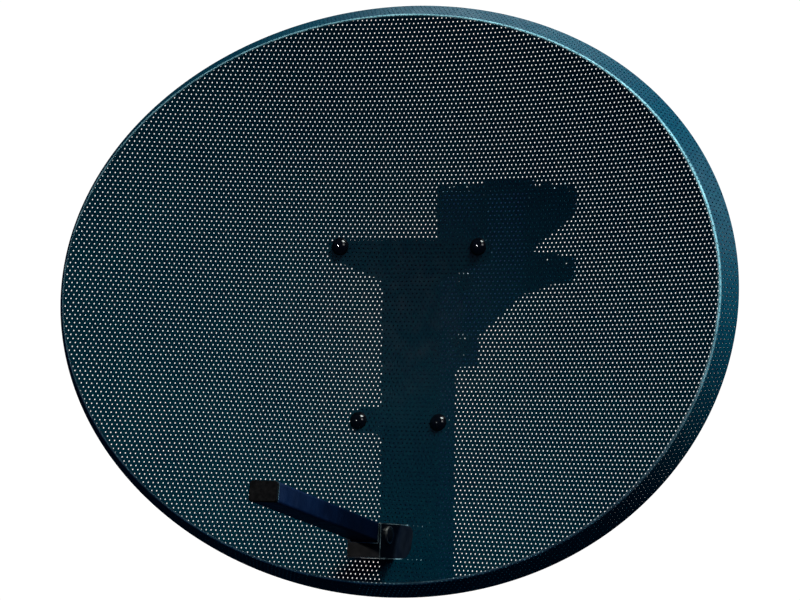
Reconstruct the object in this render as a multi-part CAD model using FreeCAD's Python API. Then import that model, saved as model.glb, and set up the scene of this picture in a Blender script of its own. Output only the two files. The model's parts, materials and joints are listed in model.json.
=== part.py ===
import FreeCAD, Part
import math
import os

# Small offset satellite dish with a mast clamp. Millimetres, +Z up, the dish looks along -Y.
# The shapes are drawn in the dish's own frame: x across, y rearwards, z up, with its zero at the
# centre of the oval rim. emit() then moves them so that the origin is the centre of the mast clamp.

V = FreeCAD.Vector
X_AXIS = V(1, 0, 0)
Y_AXIS = V(0, 1, 0)
Z_AXIS = V(0, 0, 1)
ORIGIN = V(0, 0, 0)
BIG = 600.0

# Reflector: an elliptic paraboloid y = BOWL_DEPTH - BEND_X x^2 - BEND_Z z^2 + LEAN z
RIM_X = 250.0
RIM_Z = 205.6
BOWL_DEPTH = 53.4
BEND_X = 1.056e-3
BEND_Z = 0.964e-3
LEAN = 0.0145
SHEET = 1.0
SKIRT_DEPTH = 16.5
SKIRT_FLARE = 10.2
RIM_POINTS = 96
CUTOUT_HALF = 23.5
CUTOUT_TOP = -162.6
CUTOUT_BOTTOM = -188.3
CUTOUT_RADIUS = 8.0

# Dish fixings
UPPER_BOLT = (54.0, 40.0)
LOWER_BOLT = (31.0, -88.5)
DISH_BOLT_R = 3.0
DISH_HOLE_R = 3.3
DISH_NECK = 3.1

# Spine: a U channel that leans with its top towards the bowl
SPINE_LEAN = 5.2
SPINE_TOP = V(0, 56.0, 45.0)
SPINE_HALF = 23.5
SPINE_DEPTH = 32.0
SPINE_LENGTH = 252.0
SPINE_LOBE_DEPTH = 82.0
SPINE_LOBE_LOW = -93.0
PLATE = 2.5

# Elevation pivot and lock, in the spine's frame (y rearwards from the web's face, z from its top)
HINGE_Y = 42.0
HINGE_Z = -29.0
LOCK_RADIUS = 47.0
TILT_LIMIT = 18.0
SIDE_GAP = 0.5
WASHER_GAP = 0.3
M8_R = 4.0
M8_RUNNING_R = 4.05
M8_FREE_R = 4.5
M6_R = 3.0
M6_RUNNING_R = 3.05

# Mast clamp
MAST_R = 25.0
MAST_Y = 295.0
CLAMP_Z = 80.0
BOLT_ROW = 29.5
CLAMP_BOLT_X = 35.0
CORNER_BOLTS = ((51.0, 109.0), (51.5, 47.0))
CLAMP_PLATE_FRONT = 264.5
CLAMP_PLATE = 3.0
SADDLE_HALF = 11.0
SADDLE_SHEET = 3.0
SADDLE_EAR_Y = 301.0
SADDLE_END_X = 44.0
CRADLE_HALF_X = 20.0
CLAMP_BOLT_LENGTH = 68.0

# Feed arm and the fork that holds it
ARM_WIDTH = 20.0
ARM_HEIGHT = 14.0
ARM_WALL = 1.5
ARM_RISE = 7.0
ARM_PIVOT = V(0, 2.0, -171.0)
ARM_REACH = 196.5
ARM_TAIL = 9.0
CAP_FLANGE = 3.0
FORK_HALF = 12.5
FORK_SHEET = 2.0
FORK_FRONT = -13.0
FORK_TOP = -163.0
FORK_BOTTOM = -188.0


# ---------------------------------------------------------------- helpers

def bowl_y(x, z):
    """The front face of the bowl."""
    return BOWL_DEPTH - BEND_X * x * x - BEND_Z * z * z + LEAN * z


def bowl_back(x, z):
    """The direction square to the bowl at (x, z), pointing rearwards."""
    return V(2 * BEND_X * x, 1, 2 * BEND_Z * z - LEAN).normalize()


def bowl_point(x, z):
    return V(x, bowl_y(x, z), z)


def emit(name, *solids):
    """Moves the solids from the dish's frame to the mast clamp's and writes the node's STEP file."""
    shape = solids[0] if len(solids) == 1 else Part.makeCompound(list(solids))
    shape = shape.copy()
    shape.translate(V(0, -MAST_Y, -CLAMP_Z))
    for solid in shape.Solids:
        if not solid.isValid():
            print("not valid:", name)
    shape.exportStep("parts/" + name + ".step")
    box = shape.BoundBox
    print("%-26s solids %2d volume %9.1f  z %.1f to %.1f" % (
        name, len(shape.Solids), shape.Volume, box.ZMin, box.ZMax))


def aim(shape, direction, position):
    """Turns a shape drawn along +Z to a direction and moves it to a position."""
    shape = shape.copy()
    shape.Placement = FreeCAD.Placement(position, FreeCAD.Rotation(Z_AXIS, direction))
    return shape


def rod(radius, length, position, direction):
    return Part.makeCylinder(radius, length, position, direction)


def box(x0, x1, y0, y1, z0, z1):
    return Part.makeBox(x1 - x0, y1 - y0, z1 - z0, V(x0, y0, z0))


def square_hole(half, direction, position):
    """A square block for a bolt's neck, drawn along +Z through its position."""
    return aim(box(-half, half, -half, half, -20, 20), direction, position)


def prism(points, direction):
    """A polygon's points, closed and extruded by a vector."""
    wire = Part.makePolygon(list(points) + [points[0]])
    return Part.Face(wire).extrude(direction)


def side_plate(outline, x0, x1):
    """An outline of (y, z) points as a plate from x0 to x1."""
    return prism([V(x0, y, z) for y, z in outline], V(x1 - x0, 0, 0))


def front_plate(outline, y0, y1):
    """An outline of (x, z) points as a plate from y0 to y1."""
    return prism([V(x, y0, z) for x, z in outline], V(0, y1 - y0, 0))


def round_edges(shape, radius, wanted):
    """Fillets the straight edges that the test picks."""
    edges = [edge for edge in shape.Edges if wanted(edge)]
    return shape.makeFillet(radius, edges) if edges else shape


def runs_along(axis, middle_test=None):
    """A test for edges parallel to an axis, and with their middle where middle_test says."""
    def test(edge):
        if not isinstance(edge.Curve, Part.Line):
            return False
        start, end = edge.Vertexes[0].Point, edge.Vertexes[-1].Point
        along = (end - start).normalize()
        if abs(abs(along.dot(axis)) - 1.0) > 1e-6:
            return False
        return middle_test is None or middle_test((start + end) * 0.5)
    return test


def mirror_x(shape):
    return shape.mirror(ORIGIN, X_AXIS)


def dome(radius, height):
    """A domed head that stands on z = 0 and rises along +Z."""
    ball = (radius * radius + height * height) / (2 * height)
    sphere = Part.makeSphere(ball, V(0, 0, height - ball))
    return sphere.common(Part.makeCylinder(radius + 1, height + 1))


def carriage_bolt(radius, head_radius, head_height, neck, length):
    """Head rising along +Z from z = 0, square neck and shank running down -Z."""
    head = dome(head_radius, head_height)
    square = box(-radius, radius, -radius, radius, -neck, 0.5)
    shank = Part.makeCone(radius - 0.8, radius, 0.8, V(0, 0, -length))
    shank = shank.fuse(Part.makeCylinder(radius, length - 0.8, V(0, 0, 0.8 - length)))
    return head.fuse([square, shank]).removeSplitter()


def hex_prism(across, height):
    corner = across / 2 / math.cos(math.pi / 6)
    points = [V(corner * math.cos(math.pi / 3 * i), corner * math.sin(math.pi / 3 * i), 0) for i in range(6)]
    crown = Part.makeCone(corner * 1.12, across / 2 * 0.94, height, ORIGIN, Z_AXIS)
    return prism(points, V(0, 0, height)).common(crown.fuse(Part.makeCylinder(corner * 1.12, height * 0.6)))


def hex_bolt(radius, across, head_height, length):
    """Hexagon head rising along +Z from z = 0, shank running down -Z."""
    shank = Part.makeCone(radius - 0.8, radius, 0.8, V(0, 0, -length))
    shank = shank.fuse(Part.makeCylinder(radius, length - 0.3, V(0, 0, 0.8 - length)))
    return hex_prism(across, head_height).fuse(shank).removeSplitter()


def nut(bore, across, height):
    """Flanged hexagon nut that stands on z = 0."""
    body = hex_prism(across, height)
    flange = Part.makeCone(across * 0.66, across * 0.52, height * 0.3)
    return body.fuse(flange).cut(Part.makeCylinder(bore, height * 3, V(0, 0, -height))).removeSplitter()


def washer(bore, radius, thickness):
    return Part.makeCylinder(radius, thickness).cut(Part.makeCylinder(bore, thickness * 3, V(0, 0, -thickness)))


def lean(shape):
    """Moves a shape from the spine's frame to the dish's."""
    shape = shape.copy()
    shape.rotate(ORIGIN, X_AXIS, SPINE_LEAN)
    shape.translate(SPINE_TOP)
    return shape


def leaned_point(x, y, z):
    turned = FreeCAD.Rotation(X_AXIS, SPINE_LEAN).multVec(V(x, y, z))
    return turned + SPINE_TOP


def both_sides(shape):
    return [shape, mirror_x(shape)]


# ---------------------------------------------------------------- reflector

def bowl_sheet():
    """The paraboloid as one quadratic patch, thickened along y."""
    reach = 300.0
    edge = [-reach, 0.0, reach]
    rows = []
    for i, x in enumerate(edge):
        row = []
        for j, z in enumerate(edge):
            bend_x = -1.0 if i == 1 else 1.0
            bend_z = -1.0 if j == 1 else 1.0
            drop = BEND_X * reach ** 2 * bend_x + BEND_Z * reach ** 2 * bend_z
            row.append(V(x, BOWL_DEPTH - drop + LEAN * z, z))
        rows.append(row)
    patch = Part.BezierSurface()
    patch.increase(2, 2)
    for i in range(3):
        for j in range(3):
            patch.setPole(i + 1, j + 1, rows[i][j])
    return patch.toShape().extrude(V(0, SHEET, 0))


def rim_curve(grow, back):
    """A closed curve that runs parallel to the rim, grown outwards and set back."""
    points = []
    for i in range(RIM_POINTS):
        angle = 2 * math.pi * i / RIM_POINTS
        rim_x = RIM_X * math.cos(angle)
        rim_z = RIM_Z * math.sin(angle)
        x = (RIM_X + grow) * math.cos(angle)
        z = (RIM_Z + grow) * math.sin(angle)
        points.append(V(x, bowl_y(rim_x, rim_z) + back, z))
    curve = Part.BSplineCurve()
    curve.interpolate(Points=points, PeriodicFlag=True)
    return curve.toShape()


def skirt():
    """The fold behind the rim: a flared ring between four closed curves."""
    front_out = rim_curve(0.0, 0.0)
    back_out = rim_curve(SKIRT_FLARE, SKIRT_DEPTH)
    back_in = rim_curve(SKIRT_FLARE - SHEET, SKIRT_DEPTH)
    front_in = rim_curve(-SHEET, 0.6 * SHEET)
    pairs = [(front_out, back_out), (back_out, back_in), (back_in, front_in), (front_in, front_out)]
    faces = [Part.makeRuledSurface(a, b) for a, b in pairs]
    ring = Part.Solid(Part.Shell(faces))
    ring.fix(1e-4, 1e-4, 1e-3)
    if ring.Volume < 0:
        ring.reverse()
    return ring


def cutout():
    """The rounded opening for the arm, as a block that runs along y."""
    block = box(-CUTOUT_HALF, CUTOUT_HALF, -60, 80, CUTOUT_BOTTOM, CUTOUT_TOP)
    low = runs_along(Y_AXIS, lambda middle: middle.z < CUTOUT_BOTTOM + 1)
    high = runs_along(Y_AXIS, lambda middle: middle.z > CUTOUT_TOP - 1)
    block = round_edges(block, CUTOUT_RADIUS, low)
    return round_edges(block, 3.0, high)


def reflector():
    inset = SHEET / 2
    oval = Part.Ellipse(V(0, 0, 0), RIM_X - inset, RIM_Z - inset).toShape()
    oval = Part.Face(Part.Wire(oval))
    oval.rotate(ORIGIN, X_AXIS, 90)
    oval.translate(V(0, 150, 0))
    column = oval.extrude(V(0, -300, 0))
    bowl = bowl_sheet().common(column)
    sheet = bowl.fuse(skirt())
    for x, z in (UPPER_BOLT, LOWER_BOLT):
        for side in (-1, 1):
            head = bowl_back(side * x, z) * -1
            sheet = sheet.cut(square_hole(DISH_NECK, head, bowl_point(side * x, z)))
    return sheet.cut(cutout())


# ---------------------------------------------------------------- spine and its brackets

def spine_channel():
    """Web in front, a flange each side that deepens round the pivot and the lock bolt's slot."""
    side = [
        (0, 0), (SPINE_LOBE_DEPTH - 22, 0), (SPINE_LOBE_DEPTH, -20), (SPINE_LOBE_DEPTH, SPINE_LOBE_LOW),
        (SPINE_DEPTH, SPINE_LOBE_LOW), (SPINE_DEPTH, -SPINE_LENGTH), (0, -SPINE_LENGTH),
    ]
    channel = side_plate(side, -SPINE_HALF, SPINE_HALF)
    channel = round_edges(channel, 5.0, runs_along(X_AXIS, lambda middle: middle.y > SPINE_DEPTH - 1))
    channel = round_edges(channel, 3.0, runs_along(Z_AXIS, lambda middle: middle.y < 1))
    inside = SPINE_HALF - PLATE
    hollow = box(-inside, inside, PLATE, BIG, -BIG, 20)
    channel = channel.cut(hollow)
    for z in ARM_BOLT_Z:
        channel = channel.cut(rod(DISH_HOLE_R, 20, V(0, -5, z), Y_AXIS))
    channel = lean(channel)
    channel = channel.cut(rod(M8_RUNNING_R, 80, V(-40, PIVOT.y, PIVOT.z), X_AXIS))
    return channel.cut(arc_slot(M8_R + 0.3, 0.8))


def wing_plate():
    """Cross plate in front of the spine's top. Its tips bend forward to lie on the bowl's back."""
    bend_x = 24.0
    tip_x = 66.0
    tip_forward = 4.4
    front = [(-tip_x, -tip_forward), (-bend_x, 0), (bend_x, 0), (tip_x, -tip_forward)]
    plan = [V(x, y - PLATE, -60) for x, y in front] + [V(x, y, -60) for x, y in reversed(front)]
    bent = prism(plan, V(0, 0, 80))
    low = -37.0
    right = [(64, 0.5), (64, -15), (50, -18), (28, -27), (SPINE_HALF - 0.5, -30), (SPINE_HALF - 0.5, low)]
    outline = right + [(-x, z) for x, z in reversed(right)]
    trim = front_plate(outline, -20, 20)
    at_tips = runs_along(Y_AXIS, lambda middle: abs(middle.x) > 60)
    trim = round_edges(trim, 7.0, at_tips)
    plate = lean(bent.common(trim))
    return drill_dish_holes(plate, UPPER_BOLT)


def drill_dish_holes(plate, place):
    x, z = place
    for side in (-1, 1):
        back = bowl_back(side * x, z)
        plate = plate.cut(rod(DISH_HOLE_R, 30, bowl_point(side * x, z) - back * 10, back))
    return plate


def lower_ear_bracket():
    """Two ears that lie on the bowl's back, with legs to a foot on the spine's web."""
    x, z = LOWER_BOLT
    half_height = 9.0
    ear_end = 38.0
    leg = 18.0
    leg_reach = 40.0
    seat = bowl_y(x, z) + SHEET + 1.0
    ears = box(-ear_end, ear_end, 0, PLATE, -half_height, half_height)
    ears = round_edges(ears, half_height - 0.5, runs_along(Y_AXIS))
    legs = box(-leg, leg, 0, leg_reach, -half_height, half_height)
    inside = leg - PLATE
    shape = ears.fuse(legs).cut(box(-inside, inside, -5, leg_reach + 5, -20, 20)).removeSplitter()
    shape.rotate(ORIGIN, X_AXIS, -math.degrees(math.atan(LEAN - 2 * BEND_Z * z)))
    shape.translate(V(0, seat, z))
    shape = shape.common(lean(box(-BIG, BIG, -BIG, -PLATE / 2, -BIG, BIG)))
    foot_top = (z + half_height - SPINE_TOP.z) / math.cos(math.radians(SPINE_LEAN)) + 1
    foot = lean(box(-leg, leg, -PLATE, 0, foot_top - 2 * half_height - 6, foot_top))
    return drill_dish_holes(shape.fuse(foot), LOWER_BOLT)


def dish_fixings(name, x, z, grip):
    """Dome-headed bolts on the bowl's face, with a washer and a nut behind the bracket."""
    ring = 1.4
    bolts, washers, nuts = [], [], []
    for side in (-1, 1):
        back = bowl_back(side * x, z)
        seat = bowl_point(side * x, z) - back * 0.06
        bolts.append(aim(carriage_bolt(DISH_BOLT_R, 6.5, 3.6, SHEET, grip + 11), back * -1, seat))
        washers.append(aim(washer(DISH_HOLE_R, 7.0, ring), back, seat + back * grip))
        nuts.append(aim(nut(M6_RUNNING_R, 10.0, 5.0), back, seat + back * (grip + ring)))
    emit(name + "_dish_bolts", *bolts)
    emit(name + "_dish_washers", *washers)
    emit(name + "_dish_nuts", *nuts)


# ---------------------------------------------------------------- elevation bracket

PIVOT = leaned_point(0, HINGE_Y, HINGE_Z)
LOCK = leaned_point(0, HINGE_Y, HINGE_Z - LOCK_RADIUS)
CHEEK_OUT = SPINE_HALF - PLATE - SIDE_GAP
CHEEK_IN = CHEEK_OUT - PLATE


def arc_slot(radius, extra):
    """The cut that the lock bolt runs in: a curved slot about the pivot, right across the spine."""
    middle = math.atan2(LOCK.z - PIVOT.z, LOCK.y - PIVOT.y)
    half = math.radians(TILT_LIMIT + extra)

    def at(distance, angle):
        return V(-40, PIVOT.y + distance * math.cos(angle), PIVOT.z + distance * math.sin(angle))

    near, far = LOCK_RADIUS - radius, LOCK_RADIUS + radius
    low, high = middle - half, middle + half
    edges = [
        Part.Arc(at(far, low), at(far, middle), at(far, high)).toShape(),
        Part.LineSegment(at(far, high), at(near, high)).toShape(),
        Part.Arc(at(near, high), at(near, middle), at(near, low)).toShape(),
        Part.LineSegment(at(near, low), at(far, low)).toShape(),
    ]
    slot = Part.Face(Part.Wire(edges)).extrude(V(80, 0, 0))
    for angle in (low, high):
        slot = slot.fuse(rod(radius, 80, at(LOCK_RADIUS, angle), X_AXIS))
    return slot.removeSplitter()


def elevation_bracket():
    """Two cheeks between the spine's flanges, on a rear plate that spreads out to the corner bolts."""
    plate_front = CLAMP_PLATE_FRONT - PLATE
    outline = [
        (PIVOT.y - 16, 30), (PIVOT.y - 8, 42), (164, 57), (164, 97), (plate_front, 110), (plate_front, 29),
        (118, -31), (LOCK.y + 8, -40), (LOCK.y - 12, -36), (LOCK.y - 13, -20),
    ]
    block = side_plate(outline, -CHEEK_OUT, CHEEK_OUT)
    block = round_edges(block, 6.0, runs_along(X_AXIS, lambda middle: middle.y < plate_front - 1))
    bracket = block.cut(box(-CHEEK_IN, CHEEK_IN, -BIG, BIG, -BIG, BIG))
    bracket = bracket.fuse(clamp_shape(plate_front, CLAMP_PLATE_FRONT)).removeSplitter()
    for spot in (PIVOT, LOCK):
        bracket = bracket.cut(rod(M8_RUNNING_R, 80, V(-40, spot.y, spot.z), X_AXIS))
    return bracket


def side_fixings(name, y, z):
    """A bolt and its washer outside each flange of the spine, with the nut inside the cheek."""
    washer_x = SPINE_HALF + WASHER_GAP
    head_x = washer_x + 1.6
    nut_x = CHEEK_IN
    bolt = aim(hex_bolt(M8_R, 13.0, 5.3, head_x - nut_x + 9.0), X_AXIS, V(head_x, y, z))
    ring = aim(washer(M8_RUNNING_R, 9.0, 1.6), X_AXIS, V(washer_x, y, z))
    hexagon = aim(nut(M8_RUNNING_R, 13.0, 6.5), V(-1, 0, 0), V(nut_x, y, z))
    emit(name + "_bolts", *both_sides(bolt))
    emit(name + "_washers", *both_sides(ring))
    emit(name + "_nuts", *both_sides(hexagon))


# ---------------------------------------------------------------- mast clamp

def corner_places():
    return [(side * x, z) for x, z in CORNER_BOLTS for side in (-1, 1)]


def clamp_places(rows=(-1, 1)):
    return [(x, CLAMP_Z + row * BOLT_ROW) for row in rows for x in (-CLAMP_BOLT_X, CLAMP_BOLT_X)]


def clamp_shape(front, back):
    """A plate with an arm out to each corner, which the bracket's rear and the clamp plate share."""
    right = [(58.5, 114), (58.5, 92), (21, 62), (59.5, 57), (59.5, 38), (42, 36), (23, 28)]
    outline = [(-x, z) for x, z in reversed(right)] + right
    plate = front_plate(outline, front, back)
    plate = round_edges(plate, 4.0, runs_along(Y_AXIS, lambda middle: abs(middle.x) > 56))
    for x, z in clamp_places():
        plate = plate.cut(square_hole(M8_R + 0.1, Y_AXIS, V(x, front, z)))
    for x, z in corner_places():
        plate = plate.cut(square_hole(DISH_NECK, Y_AXIS, V(x, front, z)))
    return plate


def corner_fixings():
    """Dome-headed bolts that hold the clamp plate to the bracket's rear plate."""
    front = CLAMP_PLATE_FRONT - PLATE
    back = CLAMP_PLATE_FRONT + CLAMP_PLATE
    bolts, nuts = [], []
    for x, z in corner_places():
        bolts.append(aim(carriage_bolt(M6_R, 7.5, 4.2, 3.0, 14.0), V(0, -1, 0), V(x, front, z)))
        nuts.append(aim(nut(M6_RUNNING_R, 10.0, 5.0), Y_AXIS, V(x, back, z)))
    emit("clamp_plate_bolts", *bolts)
    emit("clamp_plate_nuts", *nuts)


def front_cradle(row):
    """Curved seat for the front of the mast, welded to the clamp plate."""
    z = CLAMP_Z + row * BOLT_ROW
    back = CLAMP_PLATE_FRONT + CLAMP_PLATE
    block = box(-CRADLE_HALF_X, CRADLE_HALF_X, back, MAST_Y - 15.0, z - SADDLE_HALF, z + SADDLE_HALF)
    block = round_edges(block, 2.0, runs_along(Z_AXIS, lambda middle: middle.y > back + 5))
    return block.cut(rod(MAST_R, 200, V(0, MAST_Y, z - 100), Z_AXIS))


def rear_saddle(row):
    """Strap behind the mast: a half-round back between two flat ears."""
    z = CLAMP_Z + row * BOLT_ROW
    outer = MAST_R + SADDLE_SHEET
    low = z - SADDLE_HALF
    height = 2 * SADDLE_HALF
    ear_back = SADDLE_EAR_Y + SADDLE_SHEET
    arch = Part.makeCylinder(outer, height, V(0, MAST_Y, low))
    arch = arch.cut(box(-BIG, BIG, -BIG, SADDLE_EAR_Y, -BIG, BIG))
    ears = box(-SADDLE_END_X, SADDLE_END_X, SADDLE_EAR_Y, ear_back, low, low + height)
    ears = round_edges(ears, 3.0, runs_along(Y_AXIS))
    strap = arch.fuse(ears).cut(Part.makeCylinder(MAST_R, height * 3, V(0, MAST_Y, low - height)))
    for x, bolt_z in clamp_places((row,)):
        strap = strap.cut(rod(M8_FREE_R, 20, V(x, SADDLE_EAR_Y - 8, bolt_z), Y_AXIS))
    return strap.removeSplitter()


def clamp_fixings(name, row):
    washer_y = SADDLE_EAR_Y + SADDLE_SHEET
    bolts, washers, nuts = [], [], []
    for x, z in clamp_places((row,)):
        seat = V(x, CLAMP_PLATE_FRONT - PLATE, z)
        bolts.append(aim(carriage_bolt(M8_R, 8.0, 4.6, 4.0, CLAMP_BOLT_LENGTH), V(0, -1, 0), seat))
        washers.append(aim(washer(M8_FREE_R, 8.0, 1.8), Y_AXIS, V(x, washer_y, z)))
        nuts.append(aim(nut(M8_RUNNING_R, 13.0, 7.0), Y_AXIS, V(x, washer_y + 1.8, z)))
    emit(name + "_clamp_bolts", *bolts)
    emit(name + "_clamp_washers", *washers)
    emit(name + "_clamp_nuts", *nuts)


# ---------------------------------------------------------------- feed arm

ARM_BOLT_Z = (-199.0, -243.0)


def arm_bracket():
    """Fork that comes through the bowl's opening, on a foot that is bolted to the spine's web."""
    inside = FORK_HALF - FORK_SHEET
    block = box(-FORK_HALF, FORK_HALF, FORK_FRONT, 90, FORK_BOTTOM, FORK_TOP)
    fork = block.cut(box(-inside, inside, FORK_FRONT - 5, 90, FORK_BOTTOM + FORK_SHEET, 0))
    front_top = runs_along(X_AXIS, lambda middle: middle.y < FORK_FRONT + 1 and middle.z > FORK_TOP - 1)
    fork = round_edges(fork, 1.2, front_top)
    lip = box(-inside, inside, FORK_FRONT, FORK_FRONT + FORK_SHEET, FORK_BOTTOM, -176.9)
    fork = fork.fuse(lip)
    ahead = lean(box(-BIG, BIG, -BIG, -PLATE / 2, -BIG, BIG))
    fork = fork.common(ahead)
    foot = box(-17, 17, -PLATE, 0, -250.0, -192.0)
    foot = round_edges(foot, 4.0, runs_along(Y_AXIS))
    for z in ARM_BOLT_Z:
        foot = foot.cut(square_hole(DISH_NECK, Y_AXIS, V(0, 0, z)))
    bracket = fork.fuse(lean(foot))
    bore = rod(M6_RUNNING_R, 60, V(-30, ARM_PIVOT.y, ARM_PIVOT.z), X_AXIS)
    return bracket.cut(bore).removeSplitter()


def arm_bracket_fixings():
    bolts, nuts = [], []
    for z in ARM_BOLT_Z:
        bolt = aim(carriage_bolt(DISH_BOLT_R, 6.5, 3.4, 2.0, 14.0), V(0, -1, 0), V(0, -PLATE, z))
        bolts.append(lean(bolt))
        nuts.append(lean(aim(nut(M6_RUNNING_R, 10.0, 5.0), Y_AXIS, V(0, PLATE, z))))
    emit("arm_bracket_bolts", *bolts)
    emit("arm_bracket_nuts", *nuts)


def raise_arm(shape):
    """Moves a shape drawn along -Y from the pivot to the arm's place, its tip raised."""
    shape = shape.copy()
    shape.rotate(ORIGIN, X_AXIS, -ARM_RISE)
    shape.translate(ARM_PIVOT)
    return shape


def rounded_bar(half_x, half_z, y0, y1, radius):
    bar = box(-half_x, half_x, y0, y1, -half_z, half_z)
    return round_edges(bar, radius, runs_along(Y_AXIS))


def feed_arm():
    half_x = ARM_WIDTH / 2
    half_z = ARM_HEIGHT / 2
    tip = CAP_FLANGE - ARM_REACH
    tube = rounded_bar(half_x, half_z, tip, ARM_TAIL, 2.0)
    hollow = rounded_bar(half_x - ARM_WALL, half_z - ARM_WALL, tip - 5, ARM_TAIL + 5, 0.8)
    tube = tube.cut(hollow)
    tube = tube.cut(rod(M6_RUNNING_R, 60, V(-30, 0, 0), X_AXIS))
    return raise_arm(tube)


def arm_end_cap():
    half_x = ARM_WIDTH / 2
    half_z = ARM_HEIGHT / 2
    flange = rounded_bar(half_x, half_z, -ARM_REACH, CAP_FLANGE - ARM_REACH, 2.0)
    front = runs_along(X_AXIS, lambda middle: middle.y < 1 - ARM_REACH)
    flange = round_edges(flange, 0.8, front)
    fit = ARM_WALL + 0.05
    plug = rounded_bar(half_x - fit, half_z - fit, CAP_FLANGE - ARM_REACH - 0.5, 15 - ARM_REACH, 0.8)
    return raise_arm(flange.fuse(plug).removeSplitter())


def arm_pivot_pieces():
    y, z = ARM_PIVOT.y, ARM_PIVOT.z
    bolt = carriage_bolt(M6_R, 5.6, 2.4, 0.0, 2 * FORK_HALF + 12)
    emit("arm_pivot_bolt", aim(bolt, X_AXIS, V(FORK_HALF + 1.4, y, z)))
    ring = washer(M6_RUNNING_R, 6.2, 1.4)
    emit("arm_pivot_washers", aim(ring, X_AXIS, V(FORK_HALF, y, z)), aim(ring, V(-1, 0, 0), V(-FORK_HALF, y, z)))
    emit("arm_pivot_nut", aim(nut(M6_RUNNING_R, 10.0, 5.5), V(-1, 0, 0), V(-FORK_HALF - 1.4, y, z)))
    half = ARM_WIDTH / 2 - ARM_WALL
    bush = Part.makeCylinder(4.8, 2 * half).cut(Part.makeCylinder(M6_RUNNING_R, 4 * half, V(0, 0, -half)))
    emit("arm_pivot_bush", aim(bush, X_AXIS, V(-half, y, z)))


# ---------------------------------------------------------------- the assembly

os.makedirs("parts", exist_ok=True)

emit("reflector", reflector())
emit("spine_channel", spine_channel())
emit("wing_plate", wing_plate())
emit("lower_ear_bracket", lower_ear_bracket())
dish_fixings("upper", UPPER_BOLT[0], UPPER_BOLT[1], 4.2)
dish_fixings("lower", LOWER_BOLT[0], LOWER_BOLT[1], 5.1)

emit("elevation_bracket", elevation_bracket())
side_fixings("elevation_pivot", PIVOT.y, PIVOT.z)
side_fixings("elevation_lock", LOCK.y, LOCK.z)

emit("mast_clamp_plate", clamp_shape(CLAMP_PLATE_FRONT, CLAMP_PLATE_FRONT + CLAMP_PLATE))
corner_fixings()
for row_name, row_side in (("upper", 1), ("lower", -1)):
    emit(row_name + "_front_cradle", front_cradle(row_side))
    emit(row_name + "_rear_saddle", rear_saddle(row_side))
    clamp_fixings(row_name, row_side)

emit("arm_bracket", arm_bracket())
arm_bracket_fixings()
emit("feed_arm", feed_arm())
emit("arm_end_cap", arm_end_cap())
arm_pivot_pieces()
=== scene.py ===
import json
import math

import bpy
from mathutils import Matrix, Vector


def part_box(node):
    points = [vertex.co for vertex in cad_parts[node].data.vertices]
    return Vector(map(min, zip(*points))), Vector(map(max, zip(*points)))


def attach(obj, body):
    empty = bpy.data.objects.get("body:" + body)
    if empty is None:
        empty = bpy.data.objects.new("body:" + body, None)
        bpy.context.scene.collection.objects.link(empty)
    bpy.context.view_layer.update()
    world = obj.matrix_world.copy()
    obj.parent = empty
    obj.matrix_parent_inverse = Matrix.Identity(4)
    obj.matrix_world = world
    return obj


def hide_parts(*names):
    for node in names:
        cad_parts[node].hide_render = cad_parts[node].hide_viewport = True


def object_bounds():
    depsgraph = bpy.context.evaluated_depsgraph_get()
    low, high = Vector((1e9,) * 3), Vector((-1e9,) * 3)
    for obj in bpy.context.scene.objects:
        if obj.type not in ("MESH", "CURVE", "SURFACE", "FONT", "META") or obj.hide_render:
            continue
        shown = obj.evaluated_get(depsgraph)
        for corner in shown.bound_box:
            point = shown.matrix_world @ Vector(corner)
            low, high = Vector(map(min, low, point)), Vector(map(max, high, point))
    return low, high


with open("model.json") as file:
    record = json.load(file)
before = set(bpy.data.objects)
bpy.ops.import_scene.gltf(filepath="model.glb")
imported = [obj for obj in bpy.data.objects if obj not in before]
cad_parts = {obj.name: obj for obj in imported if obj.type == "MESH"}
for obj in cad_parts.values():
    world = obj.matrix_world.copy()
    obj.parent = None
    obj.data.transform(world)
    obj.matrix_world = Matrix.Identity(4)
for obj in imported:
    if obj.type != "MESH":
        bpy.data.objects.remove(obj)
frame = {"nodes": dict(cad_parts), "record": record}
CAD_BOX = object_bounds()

# Looks of a small oval satellite dish. Metres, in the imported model's frame.

# The pressed sheet, with the sizes that part.py gives it. The flat sheet is described by points (x, z).
RIM_CENTRE = Vector((0.0, -0.295, -0.080))
RIM_X = 0.250
RIM_Z = 0.2056
BOWL_DEPTH = 0.0534
BEND_X = 1.056
BEND_Z = 0.964
LEAN = 0.0145
SHEET = 0.001
SKIRT_DEPTH = 0.0165
SKIRT_FLARE = 0.0102
SKIRT_SLANT = math.hypot(SKIRT_DEPTH, SKIRT_FLARE)
SKIRT_INSET = 0.0004
SKIRT_END = SKIRT_SLANT - SKIRT_INSET
ROLL = 0.0013
FOLD_LINES = [ROLL * step / 2 for step in (-2, -1, 0, 1, 2)]
WELL_INSIDE = 0.6
WELL_INSIDE_GROWTH = -0.03
GROWTH_STEPS = 6

# The holes: rows across the dish, every other row shifted by half a pitch
PITCH = 0.00344
ROW_STEP = PITCH * math.sqrt(3) / 2
CELL_RADIUS = PITCH / math.sqrt(3)
HOLE_RADIUS = 0.00058
HOLE_SIDES = 12
HOLE_MARGIN = 0.00025
CUT_REACH = 1.1 * CELL_RADIUS
HALVINGS = 16
KEYS_PER_METRE = 1e7
BOWL_BANDS = 8
SHARP_ANGLE = 35.0

# The opening for the arm, and the bolts through the bowl
OPENING_HALF = 0.0235
OPENING_TOP = -0.1626
OPENING_BOTTOM = -0.1882
OPENING_RADIUS = 0.008
DISH_BOLTS = [(0.054, 0.040), (-0.054, 0.040), (0.031, -0.0885), (-0.031, -0.0885)]
DISH_BOLT_HOLE = 0.0033


# ---------------------------------------------------------------- the pressed sheet

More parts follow.
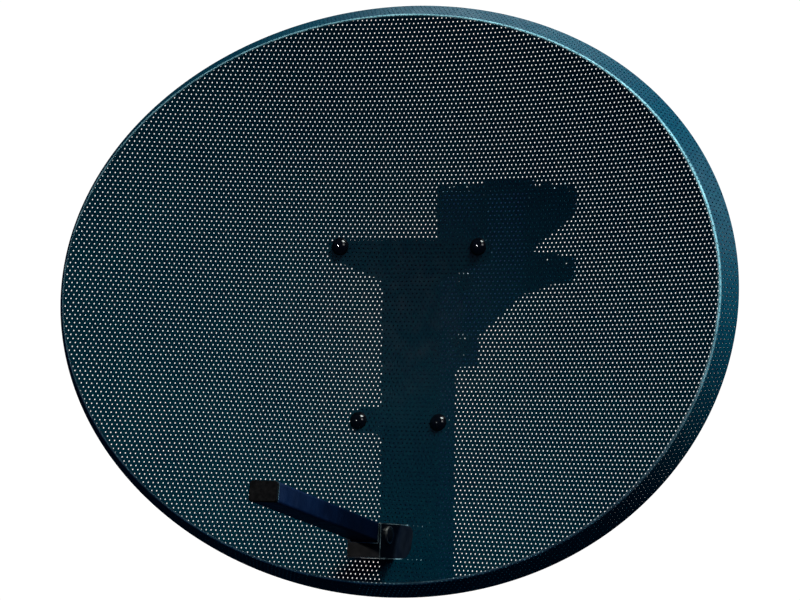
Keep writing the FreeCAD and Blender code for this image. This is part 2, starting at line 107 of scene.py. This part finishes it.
def bowl_y(x, z):
    """How far back the bowl's front face is at a flat point."""
    return BOWL_DEPTH - BEND_X * x * x - BEND_Z * z * z + LEAN * z


def grown(x, z):
    """How far outside the rim a flat point is, as the growth of the rim's two half axes.

    The growth is found by Newton steps, and near the middle a fixed value is close enough.
    """
    if (x / RIM_X) ** 2 + (z / RIM_Z) ** 2 < WELL_INSIDE:
        return WELL_INSIDE_GROWTH
    growth = 0.0
    for _ in range(GROWTH_STEPS):
        half_x = RIM_X + growth
        half_z = RIM_Z + growth
        miss = (x / half_x) ** 2 + (z / half_z) ** 2 - 1.0
        slope = -2.0 * (x * x / half_x ** 3 + z * z / half_z ** 3)
        growth -= miss / slope
    return growth


def rim_point(angle, growth, back):
    """A point at an angle round the rim, grown outwards and set back."""
    y = bowl_y(RIM_X * math.cos(angle), RIM_Z * math.sin(angle)) + back
    return Vector(((RIM_X + growth) * math.cos(angle), y, (RIM_Z + growth) * math.sin(angle)))


def crossing_point(p, d, q, e):
    """Where two lines in a plane cross: p + s d and q + t e, all (growth, back) pairs."""
    turn = d[0] * e[1] - d[1] * e[0]
    s = ((q[0] - p[0]) * e[1] - (q[1] - p[1]) * e[0]) / turn
    return p[0] + s * d[0], p[1] + s * d[1]


def fold_point(angle, growth, inner):
    """A point on the tight bend between the bowl and the skirt, or on the straight skirt past it."""
    way = (SKIRT_FLARE / SKIRT_SLANT, SKIRT_DEPTH / SKIRT_SLANT)
    lift = (-SHEET * way[1], SHEET * way[0]) if inner else (0.0, 0.0)
    if growth > ROLL:
        return rim_point(angle, way[0] * growth + lift[0], way[1] * growth + lift[1])
    cos, sin = math.cos(angle), math.sin(angle)
    start_back = bowl_y((RIM_X - ROLL) * cos, (RIM_Z - ROLL) * sin) - bowl_y(RIM_X * cos, RIM_Z * sin)
    start = (-ROLL, start_back + (SHEET if inner else 0.0))
    end = (way[0] * ROLL + lift[0], way[1] * ROLL + lift[1])
    corner = crossing_point(start, (ROLL, -start_back), end, way)
    t = (growth + ROLL) / (2 * ROLL)
    weights = ((1 - t) ** 2, 2 * t * (1 - t), t * t)
    out = sum(weight * point[0] for weight, point in zip(weights, (start, corner, end)))
    back = sum(weight * point[1] for weight, point in zip(weights, (start, corner, end)))
    return rim_point(angle, out, back)


def pressed(x, z, inner):
    """Where a flat point of the sheet lies once the sheet is pressed."""
    growth = grown(x, z)
    if growth < -ROLL:
        return Vector((x, bowl_y(x, z) + (SHEET if inner else 0.0), z))
    angle = math.atan2(z / (RIM_Z + growth), x / (RIM_X + growth))
    return fold_point(angle, growth, inner)


def inside_skirt(x, z):
    """Distance inside the skirt's outer edge."""
    return SKIRT_END - grown(x, z)


def outside_opening(x, z):
    """Distance outside the arm's opening, which is a rounded rectangle."""
    middle = (OPENING_TOP + OPENING_BOTTOM) / 2
    half = (OPENING_TOP - OPENING_BOTTOM) / 2
    past_x = abs(x) - OPENING_HALF + OPENING_RADIUS
    past_z = abs(z - middle) - half + OPENING_RADIUS
    outside = math.hypot(max(past_x, 0.0), max(past_z, 0.0))
    return outside + min(max(past_x, past_z), 0.0) - OPENING_RADIUS


def outside_bolts(x, z):
    """Distance outside the nearest bolt hole."""
    return min(math.hypot(x - bolt_x, z - bolt_z) for bolt_x, bolt_z in DISH_BOLTS) - DISH_BOLT_HOLE


# ---------------------------------------------------------------- the perforated sheet

def crossing(a, b, limit):
    """The point between a and b where limit changes sign."""
    low, high = (a, b) if a < b else (b, a)
    low_in = limit(*low) > 0
    for _ in range(HALVINGS):
        middle = ((low[0] + high[0]) / 2, (low[1] + high[1]) / 2)
        if (limit(*middle) > 0) == low_in:
            low = middle
        else:
            high = middle
    return low


def clipped(outline, limit):
    """The part of an outline where limit is above zero."""
    kept = []
    for here, after in zip(outline, outline[1:] + outline[:1]):
        here_in = limit(*here) > 0
        if here_in:
            kept.append(here)
        if here_in != (limit(*after) > 0):
            kept.append(crossing(here, after, limit))
    return kept


def hexagon(column, row):
    """A cell's corners. They come from whole numbers, so that neighbours share them exactly."""
    half_pitch = PITCH / 2
    half_radius = CELL_RADIUS / 2
    at_x = 2 * column + (row % 2)
    at_z = 3 * row
    steps = [(1, 1), (0, 2), (-1, 1), (-1, -1), (0, -2), (1, -1)]
    return [((at_x + dx) * half_pitch, (at_z + dz) * half_radius) for dx, dz in steps]


def faces_round_hole(outline, centre):
    """Faces between an outline and the round hole at its centre."""
    turn = 2 * math.pi / HOLE_SIDES
    start = math.pi / 6

    def hole_point(step):
        angle = start + turn * (step % HOLE_SIDES)
        return centre[0] + HOLE_RADIUS * math.cos(angle), centre[1] + HOLE_RADIUS * math.sin(angle)

    def nearest(point):
        angle = math.atan2(point[1] - centre[1], point[0] - centre[0])
        return round((angle - start) / turn) % HOLE_SIDES

    faces = []
    for here, after in zip(outline, outline[1:] + outline[:1]):
        first = nearest(here)
        last = first + (nearest(after) - first) % HOLE_SIDES
        faces.append([here, after] + [hole_point(step) for step in range(last, first - 1, -1)])
    return faces


def split_at_fold(faces):
    """Cuts faces along lines that run parallel to the rim, so that the fold can bend smoothly."""
    for level in FOLD_LINES:
        halves = []
        for face in faces:
            halves.append(clipped(face, lambda x, z: grown(x, z) - level))
            halves.append(clipped(face, lambda x, z: level - grown(x, z)))
        faces = [face for face in halves if len(face) > 2]
    return faces


def cell_faces(column, row, limits):
    """The flat faces of one cell: with its hole where that fits, cut where a limit crosses it."""
    centre = ((2 * column + (row % 2)) * PITCH / 2, 3 * row * CELL_RADIUS / 2)
    depths = [limit(*centre) for limit in limits]
    if min(depths) < -CELL_RADIUS:
        return []
    outline = hexagon(column, row)
    for limit, depth in zip(limits, depths):
        if depth < CUT_REACH:
            outline = clipped(outline, limit)
    if len(outline) < 3:
        return []
    has_hole = min(depths) > HOLE_RADIUS + HOLE_MARGIN
    faces = faces_round_hole(outline, centre) if has_hole else [outline]
    if abs(grown(*centre)) < ROLL + CUT_REACH:
        faces = split_at_fold(faces)
    return faces


def key(point):
    """A flat point as whole numbers, so that points that meet are the same."""
    return round(point[0] * KEYS_PER_METRE), round(point[1] * KEYS_PER_METRE)


def perforated_cells(limits):
    """(x, z, faces) of every cell of the sheet inside the limits."""
    cells = []
    rows = int((RIM_Z + SKIRT_SLANT) / ROW_STEP) + 2
    columns = int((RIM_X + SKIRT_SLANT) / PITCH) + 2
    for row in range(-rows, rows + 1):
        for column in range(-columns, columns + 1):
            faces = cell_faces(column, row, limits)
            if faces:
                cells.append((column * PITCH, row * ROW_STEP, faces))
    return cells


def sheet_pieces(limits):
    """Cuts, presses and thickens the perforated sheet, as a few pieces whose edges meet."""
    cells = perforated_cells(limits)
    directed = set()
    for _, _, faces in cells:
        for face in faces:
            keys = [key(point) for point in face]
            directed.update(zip(keys, keys[1:] + keys[:1]))
    groups = {}
    for x, z, faces in cells:
        groups.setdefault(part_of_sheet(x, z), []).extend(faces)
    pieces = []
    for name, faces in sorted(groups.items()):
        points = []
        index = {}
        solid_faces = []
        for face in faces:
            keys = [key(point) for point in face]
            for point_key, point in zip(keys, face):
                if point_key not in index:
                    index[point_key] = len(points)
                    points.append(pressed(*point, inner=False))
                    points.append(pressed(*point, inner=True))
            outer = [index[point_key] for point_key in keys]
            solid_faces.append(outer)
            solid_faces.append([i + 1 for i in reversed(outer)])
            sides = zip(keys, keys[1:] + keys[:1], outer, outer[1:] + outer[:1])
            for key_from, key_to, i, j in sides:
                if (key_to, key_from) not in directed:
                    solid_faces.append([j, i, i + 1, j + 1])
        pieces.append(add_piece(name, points, solid_faces, crease=SHARP_ANGLE))
    return pieces


def add_piece(name, points, faces, crease=None, offset=RIM_CENTRE):
    """A mesh object from points given in the dish's own frame. crease is the angle that stays sharp."""
    mesh = bpy.data.meshes.new(name)
    mesh.from_pydata([point + offset for point in points], [], faces)
    mesh.validate()
    if crease:
        mesh.shade_smooth()
        mesh.set_sharp_from_angle(angle=math.radians(crease))
    piece = bpy.data.objects.new(name, mesh)
    bpy.context.scene.collection.objects.link(piece)
    return piece


def part_of_sheet(x, z):
    """The piece that a cell belongs to: one of the bowl's bands of equal area, or a side of the skirt."""
    if grown(x, z) > ROLL + CELL_RADIUS:
        return "skirt_right" if x > 0 else "skirt_left"
    share = (z + RIM_Z) / (2 * RIM_Z)
    angle = math.acos(max(-1.0, min(1.0, 1 - 2 * share)))
    level = (angle - math.sin(2 * angle) / 2) / math.pi
    return "bowl_%02d" % (min(BOWL_BANDS - 1, int(level * BOWL_BANDS)) + 1)


# ---------------------------------------------------------------- materials

NOISE_ROUGHNESS = 0.55


def new_material(name):
    """A material with only a Principled shader, its node tree and that shader."""
    material = bpy.data.materials.new(name)
    material.use_nodes = True
    tree = material.node_tree
    return material, tree, tree.nodes["Principled BSDF"]


def noise(tree, scale, detail=4.0):
    """Noise in the object's own metres: scale is how many blotches there are to a metre."""
    place = tree.nodes.new("ShaderNodeTexCoord")
    texture = tree.nodes.new("ShaderNodeTexNoise")
    texture.inputs["Scale"].default_value = scale
    texture.inputs["Detail"].default_value = detail
    texture.inputs["Roughness"].default_value = NOISE_ROUGHNESS
    tree.links.new(place.outputs["Object"], texture.inputs["Vector"])
    return texture.outputs["Fac"]


def ramp(tree, source, stops):
    """Colours or greys picked by a value: stops are (position, colour) pairs."""
    node = tree.nodes.new("ShaderNodeValToRGB")
    elements = node.color_ramp.elements
    while len(elements) < len(stops):
        elements.new(0.5)
    for element, (position, colour) in zip(elements, stops):
        element.position = position
        if isinstance(colour, float):
            colour = (colour, colour, colour)
        element.color = (*colour, 1.0)
    tree.links.new(source, node.inputs["Fac"])
    return node.outputs["Color"]


def mix(tree, share, first, second):
    """Mixes two colour sockets by a share socket."""
    node = tree.nodes.new("ShaderNodeMix")
    node.data_type = "RGBA"
    tree.links.new(share, node.inputs["Factor"])
    tree.links.new(first, node.inputs[6])
    tree.links.new(second, node.inputs[7])
    return node.outputs[2]


def bump(tree, shader, height, strength, distance):
    """Raises the shader's surface by a height socket."""
    node = tree.nodes.new("ShaderNodeBump")
    node.inputs["Strength"].default_value = strength
    node.inputs["Distance"].default_value = distance
    tree.links.new(height, node.inputs["Height"])
    tree.links.new(node.outputs["Normal"], shader.inputs["Normal"])


def near_fold(tree):
    """1 along the fold of the dish's rim and 0 away from it."""
    place = tree.nodes.new("ShaderNodeTexCoord")
    scaled = tree.nodes.new("ShaderNodeMapping")
    scaled.inputs["Scale"].default_value = (1 / RIM_X, 0.0, 1 / RIM_Z)
    scaled.inputs["Location"].default_value = (0.0, 0.0, -RIM_CENTRE.z / RIM_Z)
    tree.links.new(place.outputs["Object"], scaled.inputs["Vector"])
    distance = tree.nodes.new("ShaderNodeVectorMath")
    distance.operation = "LENGTH"
    tree.links.new(scaled.outputs["Vector"], distance.inputs[0])
    zoom = tree.nodes.new("ShaderNodeMapRange")
    zoom.inputs["From Min"].default_value = 0.985
    zoom.inputs["From Max"].default_value = 1.015
    tree.links.new(distance.outputs["Value"], zoom.inputs["Value"])
    return ramp(tree, zoom.outputs["Result"], [(0.38, 0.0), (0.46, 1.0), (0.60, 1.0), (0.70, 0.0)])


def product(tree, first, second):
    """Two value sockets multiplied."""
    node = tree.nodes.new("ShaderNodeMath")
    node.operation = "MULTIPLY"
    tree.links.new(first, node.inputs[0])
    tree.links.new(second, node.inputs[1])
    return node.outputs["Value"]


def mesh_paint():
    """Dark blue-green paint on the perforated sheet: cloudy and grained, with a pale band along the fold
    that is partly paint rubbed down and partly a painted highlight.
    """
    material, tree, shader = new_material("mesh_paint")
    cloud_stops = [(0.3, (0.0006, 0.024, 0.045)), (0.7, (0.0014, 0.039, 0.061))]
    grain_stops = [(0.35, (0.0005, 0.011, 0.035)), (0.65, (0.0020, 0.057, 0.078))]
    # Pale colours for the fold: partly rubbed-down paint, partly a painted highlight on the bend.
    fold_wear_and_highlight_stops = [(0.3, (0.200, 0.440, 0.500)), (0.7, (0.380, 0.640, 0.700))]
    clouds = ramp(tree, noise(tree, 14.0), cloud_stops)
    grain = ramp(tree, noise(tree, 700.0, 2.0), grain_stops)
    share = ramp(tree, noise(tree, 260.0, 2.0), [(0.3, 0.2), (0.7, 0.7)])
    coat = mix(tree, share, clouds, grain)
    # The pale band along the fold: partly rubbed-down paint, partly a painted highlight on the bend.
    fold_wear_and_highlight = ramp(tree, noise(tree, 320.0), fold_wear_and_highlight_stops)
    fold_wear_and_highlight_share = product(tree, near_fold(tree), ramp(tree, noise(tree, 60.0), [(0.3, 0.35), (0.65, 0.9)]))
    tree.links.new(mix(tree, fold_wear_and_highlight_share, coat, fold_wear_and_highlight), shader.inputs["Base Color"])
    tree.links.new(ramp(tree, noise(tree, 90.0), [(0.3, 0.34), (0.7, 0.5)]), shader.inputs["Roughness"])
    shader.inputs["Specular IOR Level"].default_value = 0.01
    bump(tree, shader, noise(tree, 900.0, 3.0), 0.35, 0.0001)
    return material


def powder_coat(name, coat_low, coat_high, wear_and_highlight_low, wear_and_highlight_high, edge_width):
    """Dark powder coat: a fine orange-peel skin, paler on the edges, where the pale layer is partly paint
    rubbed down and partly a painted highlight.
    """
    material, tree, shader = new_material(name)
    body = ramp(tree, noise(tree, 60.0), [(0.3, coat_low), (0.7, coat_high)])
    bevel = tree.nodes.new("ShaderNodeBevel")
    bevel.inputs["Radius"].default_value = edge_width
    bevel.samples = 4
    geometry = tree.nodes.new("ShaderNodeNewGeometry")
    dot = tree.nodes.new("ShaderNodeVectorMath")
    dot.operation = "DOT_PRODUCT"
    tree.links.new(bevel.outputs["Normal"], dot.inputs[0])
    tree.links.new(geometry.outputs["Normal"], dot.inputs[1])
    edges = ramp(tree, dot.outputs["Value"], [(0.86, 1.0), (0.97, 0.0)])
    patches = ramp(tree, noise(tree, 110.0), [(0.38, 0.15), (0.60, 0.9)])
    # Pale edge colour: partly rubbed-down paint, partly a painted highlight on the edges.
    bare_and_highlight = ramp(tree, noise(tree, 300.0), [(0.3, wear_and_highlight_low), (0.7, wear_and_highlight_high)])
    tree.links.new(mix(tree, product(tree, edges, patches), body, bare_and_highlight), shader.inputs["Base Color"])
    tree.links.new(ramp(tree, noise(tree, 120.0), [(0.3, 0.38), (0.7, 0.55)]), shader.inputs["Roughness"])
    shader.inputs["Specular IOR Level"].default_value = 0.06
    bump(tree, shader, noise(tree, 420.0, 3.0), 0.4, 0.00015)
    return material


def plain_math(tree, operation, source, value):
    """One sum on a value socket and a number."""
    node = tree.nodes.new("ShaderNodeMath")
    node.operation = operation
    tree.links.new(source, node.inputs[0])
    node.inputs[1].default_value = value
    return node.outputs["Value"]


def thread(tree, start, pitch):
    """Grooves across the y axis, from start to the back end of the bolt."""
    place = tree.nodes.new("ShaderNodeTexCoord")
    split = tree.nodes.new("ShaderNodeSeparateXYZ")
    tree.links.new(place.outputs["Object"], split.inputs["Vector"])
    along = plain_math(tree, "MULTIPLY", split.outputs["Y"], 2 * math.pi / pitch)
    wave = plain_math(tree, "SINE", along, 0.0)
    return product(tree, wave, plain_math(tree, "GREATER_THAN", split.outputs["Y"], start))


def black_fastener(name, thread_start=None, pitch=None):
    """Black bolts with a glossy skin, threaded past thread_start where that is given."""
    material, tree, shader = new_material(name)
    body = ramp(tree, noise(tree, 240.0), [(0.3, (0.0015, 0.0020, 0.0035)), (0.7, (0.005, 0.006, 0.009))])
    tree.links.new(body, shader.inputs["Base Color"])
    tree.links.new(ramp(tree, noise(tree, 500.0), [(0.3, 0.05), (0.7, 0.10)]), shader.inputs["Roughness"])
    shader.inputs["Specular IOR Level"].default_value = 0.5
    if thread_start is None:
        bump(tree, shader, noise(tree, 800.0, 3.0), 0.2, 0.00008)
    else:
        bump(tree, shader, thread(tree, thread_start, pitch), 0.9, 0.0004)
    return material


def zinc_plate():
    """Dull zinc with a faint yellow and blue bloom."""
    material, tree, shader = new_material("zinc_plate")
    grey = ramp(tree, noise(tree, 180.0), [(0.3, (0.30, 0.30, 0.30)), (0.7, (0.46, 0.46, 0.45))])
    bloom = ramp(tree, noise(tree, 90.0), [(0.3, (0.36, 0.33, 0.24)), (0.7, (0.30, 0.34, 0.40))])
    share = ramp(tree, noise(tree, 130.0), [(0.35, 0.05), (0.7, 0.5)])
    tree.links.new(mix(tree, share, grey, bloom), shader.inputs["Base Color"])
    shader.inputs["Metallic"].default_value = 1.0
    tree.links.new(ramp(tree, noise(tree, 400.0), [(0.3, 0.30), (0.7, 0.52)]), shader.inputs["Roughness"])
    bump(tree, shader, noise(tree, 1200.0, 3.0), 0.25, 0.00006)
    return material


def black_plastic():
    """The arm's moulded end cap: a fine spark-eroded grain."""
    material, tree, shader = new_material("black_plastic")
    body = ramp(tree, noise(tree, 200.0), [(0.3, (0.0010, 0.0012, 0.0016)), (0.7, (0.0028, 0.0032, 0.0040))])
    tree.links.new(body, shader.inputs["Base Color"])
    tree.links.new(ramp(tree, noise(tree, 350.0), [(0.3, 0.48), (0.7, 0.66)]), shader.inputs["Roughness"])
    shader.inputs["Specular IOR Level"].default_value = 0.03
    bump(tree, shader, noise(tree, 2400.0, 2.0), 0.5, 0.00008)
    return material


# ---------------------------------------------------------------- the reflector

paint = mesh_paint()
sheet = sheet_pieces([inside_skirt, outside_opening, outside_bolts])
for piece in sheet:
    piece.data.materials.append(paint)
    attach(piece, "dish")
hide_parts("reflector")


# ---------------------------------------------------------------- finishes of the CAD nodes

# Black paint on the brackets: its pale edge colour is partly rubbed-down paint and partly a painted
# highlight.
black_paint = powder_coat("black_paint", (0.0006, 0.0035, 0.0160), (0.0014, 0.0075, 0.0300),
                          (0.080, 0.150, 0.190), (0.200, 0.320, 0.380), 0.0009)
# The arm bracket's paint: a darker copy of the black paint, which is painted shade, with bright edges, which
# are a painted highlight on the fork's top edge.
bracket_shade_and_highlight_paint = powder_coat("bracket_shade_and_highlight_paint", (0.0002, 0.0006, 0.0020), (0.0006, 0.0018, 0.0060),
                           (0.250, 0.420, 0.480), (0.550, 0.720, 0.760), 0.0014)
finishes = {
    "black_paint": black_paint,
    "black_fasteners": black_fastener("black_fasteners"),
    "zinc_plate": zinc_plate(),
    "black_plastic": black_plastic(),
    "mesh_paint": paint,
}
slot_of = {part["node"]: part["material_slot"] for part in frame["record"]["subparts"]}
M6_PITCH = 0.001
M8_PITCH = 0.00125
# Length of the threaded end, and its pitch
thread_of = {
    "upper_clamp_bolts": (0.045, M8_PITCH),
    "lower_clamp_bolts": (0.045, M8_PITCH),
    "clamp_plate_bolts": (0.008, M6_PITCH),
    "upper_dish_bolts": (0.011, M6_PITCH),
    "lower_dish_bolts": (0.011, M6_PITCH),
    "arm_bracket_bolts": (0.008, M6_PITCH),
}
for node, obj in frame["nodes"].items():
    # The arm bracket gets the darker paint with painted shade and a painted edge highlight.
    finish = bracket_shade_and_highlight_paint if node == "arm_bracket" else finishes[slot_of[node]]
    if node in thread_of:
        length, pitch = thread_of[node]
        finish = black_fastener("threaded_" + node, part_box(node)[1].y - length, pitch)
    for material_slot in obj.material_slots:
        material_slot.material = finish


# ---------------------------------------------------------------- floor, light and camera

def soft_light(name, place, target, width, height, power, colour):
    """A softbox that faces its target."""
    lamp = bpy.data.lights.new(name, "AREA")
    lamp.shape = "RECTANGLE"
    lamp.size = width
    lamp.size_y = height
    lamp.energy = power
    lamp.color = colour
    obj = bpy.data.objects.new(name, lamp)
    obj.location = place
    obj.rotation_euler = (Vector(target) - Vector(place)).to_track_quat("-Z", "Y").to_euler()
    bpy.context.scene.collection.objects.link(obj)
    return obj


def pale_floor(level):
    """A wide pale disc under the object. It gives a little light of its own, but throws none back up."""
    sides = 96
    reach = 9.0
    turns = [2 * math.pi * i / sides for i in range(sides)]
    points = [Vector((reach * math.cos(turn), reach * math.sin(turn), level)) for turn in turns]
    floor = add_piece("floor", points, [list(range(sides))], offset=Vector((0, 0, 0)))
    material, tree, shader = new_material("pale_floor")
    tree.links.new(ramp(tree, noise(tree, 3.0), [(0.3, 0.20), (0.7, 0.24)]), shader.inputs["Base Color"])
    shader.inputs["Emission Color"].default_value = (0.95, 0.96, 0.97, 1.0)
    shader.inputs["Emission Strength"].default_value = 0.82
    tree.links.new(ramp(tree, noise(tree, 20.0), [(0.3, 0.8), (0.7, 0.9)]), shader.inputs["Roughness"])
    shader.inputs["Specular IOR Level"].default_value = 0.1
    floor.data.materials.append(material)
    floor.visible_diffuse = False
    floor.visible_glossy = False


def studio_world(fill_colour, fill_strength):
    """A white studio wall that only the camera sees, and a weak cool light from all round."""
    world = bpy.data.worlds.new("studio")
    world.use_nodes = True
    tree = world.node_tree
    fill = tree.nodes["Background"]
    fill.inputs["Color"].default_value = (*fill_colour, 1.0)
    fill.inputs["Strength"].default_value = fill_strength
    wall = tree.nodes.new("ShaderNodeBackground")
    wall.inputs["Color"].default_value = (1.0, 1.0, 1.0, 1.0)
    wall.inputs["Strength"].default_value = 1.05
    path = tree.nodes.new("ShaderNodeLightPath")
    blend = tree.nodes.new("ShaderNodeMixShader")
    tree.links.new(path.outputs["Is Camera Ray"], blend.inputs["Fac"])
    tree.links.new(fill.outputs["Background"], blend.inputs[1])
    tree.links.new(wall.outputs["Background"], blend.inputs[2])
    tree.links.new(blend.outputs["Shader"], tree.nodes["World Output"].inputs["Surface"])
    bpy.context.scene.world = world


def photo_camera():
    """Right of the dish's middle and a little below it, rolled by two and a half degrees."""
    turn, rise, roll = 0.3751, -0.0918, 0.0441
    back = Vector((math.sin(turn) * math.cos(rise), -math.cos(turn) * math.cos(rise), math.sin(rise)))
    right = Vector((math.cos(turn), math.sin(turn), 0.0))
    up = back.cross(right)
    rolled_right = math.cos(roll) * right + math.sin(roll) * up
    rolled_up = math.cos(roll) * up - math.sin(roll) * right
    data = bpy.data.cameras.new("camera")
    data.sensor_width = 36.0
    data.lens = 122.62
    data.shift_x = 0.0229
    data.shift_y = -0.0074
    data.clip_end = 200.0
    camera = bpy.data.objects.new("camera", data)
    camera.matrix_world = Matrix((rolled_right, rolled_up, back)).transposed().to_4x4()
    camera.location = (0.7104, -2.0990, -0.2584)
    bpy.context.scene.collection.objects.link(camera)
    bpy.context.scene.camera = camera


WHITE = (1.0, 1.0, 1.0)
FLOOR_DROP = 0.30
DISH_MIDDLE = (0, -0.29, -0.10)
studio_world((0.12, 0.40, 1.0), 0.05)
pale_floor(CAD_BOX[0][2] - FLOOR_DROP)
soft_light("key", (0.75, -0.80, 1.75), DISH_MIDDLE, 0.8, 0.8, 34, (0.92, 1.0, 0.96))
soft_light("front_light", (1.24, -1.53, 0.70), DISH_MIDDLE, 0.6, 0.6, 4, WHITE)
soft_light("top_light", (-0.10, 0.80, 1.80), (0, -0.29, 0.12), 1.4, 1.2, 56, (0.70, 0.93, 1.0))
soft_light("side_light", (1.75, 0.55, 1.05), (0.20, -0.29, 0.03), 0.9, 1.3, 130, (0.66, 0.93, 1.0))
# A small lamp that only glossy surfaces show, for the highlights on the bolt heads
sparkle = soft_light("sparkle", (-0.78, -2.35, 0.30), (0, -0.29, -0.08), 0.12, 0.12, 26, WHITE)
sparkle.visible_diffuse = False
photo_camera()
bpy.context.scene.view_settings.view_transform = "Standard"
